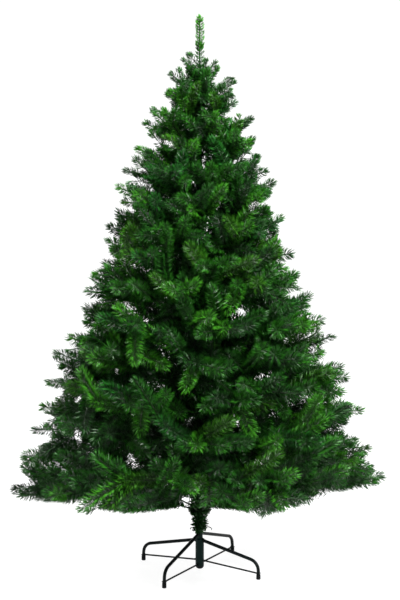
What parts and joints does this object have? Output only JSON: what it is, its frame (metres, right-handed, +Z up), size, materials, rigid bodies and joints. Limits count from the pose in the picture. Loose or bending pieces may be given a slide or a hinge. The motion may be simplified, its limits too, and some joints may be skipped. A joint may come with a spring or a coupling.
{
  "type": "artificial christmas tree",
  "caption": "Plain green artificial fir: tiers of hinged wire boughs with plastic needles on a slim steel pole, on a cross stand with bent legs and rubber feet.",
  "frame": {"origin": "on the pole's axis at floor level, in the middle of the stand's feet", "axes": "+Z up along the pole; -Y is the side that faces the viewer and +X is the viewer's right"},
  "size_m": [1.2254, 1.1799, 1.8],
  "materials": {
    "needles": "satin plastic needles, mixed greens",
    "bough_wire": "twisted wire, dark green-brown",
    "collar_plastic": "moulded, dark green",
    "pole_paint": "semi-gloss bottle green",
    "stand_paint": "semi-gloss green-black",
    "rubber": "matte black"
  },
  "bodies": {
    "root": {"stand_leg_back_right": "stand_paint", "stand_foot_back_right": "rubber", "stand_brace_back_right": "stand_paint", "stand_leg_front_left": "stand_paint", "stand_foot_front_left": "rubber", "stand_brace_front_left": "stand_paint", "stand_leg_back_left": "stand_paint", "stand_foot_back_left": "rubber", "stand_brace_back_left": "stand_paint", "stand_leg_front_right": "stand_paint", "stand_foot_front_right": "rubber", "stand_brace_front_right": "stand_paint", "stand_sleeve": "pole_paint", "stand_hub_tube": "pole_paint", "stand_end_cap": "rubber", "pole": "pole_paint", "bough_collar": "collar_plastic", "foliage_pole_wrap": "needles", "foliage_leader": "needles", "bough_a": "bough_wire", "bough_b": "bough_wire", "bough_c": "bough_wire", "bough_d": "bough_wire", "bough_e": "bough_wire", "bough_f": "bough_wire", "foliage_tier1_a": "needles", "foliage_tier1_b": "needles", "foliage_tier1_c": "needles", "foliage_tier1_d": "needles", "foliage_tier1_e": "needles", "foliage_tier1_f": "needles", "foliage_tier2_a": "needles", "foliage_tier2_b": "needles", "foliage_tier2_c": "needles", "foliage_tier2_d": "needles", "foliage_tier2_e": "needles", "foliage_tier2_f": "needles", "foliage_tier3_a": "needles", "foliage_tier3_b": "needles", "foliage_tier3_c": "needles", "foliage_tier3_d": "needles", "foliage_tier3_e": "needles", "foliage_tier4_a": "needles", "foliage_tier4_b": "needles", "foliage_tier4_c": "needles", "foliage_tier4_d": "needles", "foliage_tier4_e": "needles", "foliage_tier5_a": "needles", "foliage_tier5_b": "needles", "foliage_tier5_c": "needles", "foliage_tier5_d": "needles", "foliage_tier6_a": "needles", "foliage_tier6_b": "needles", "foliage_tier6_c": "needles", "foliage_tier7_a": "needles", "foliage_tier7_b": "needles"}
  },
  "joints": []
}
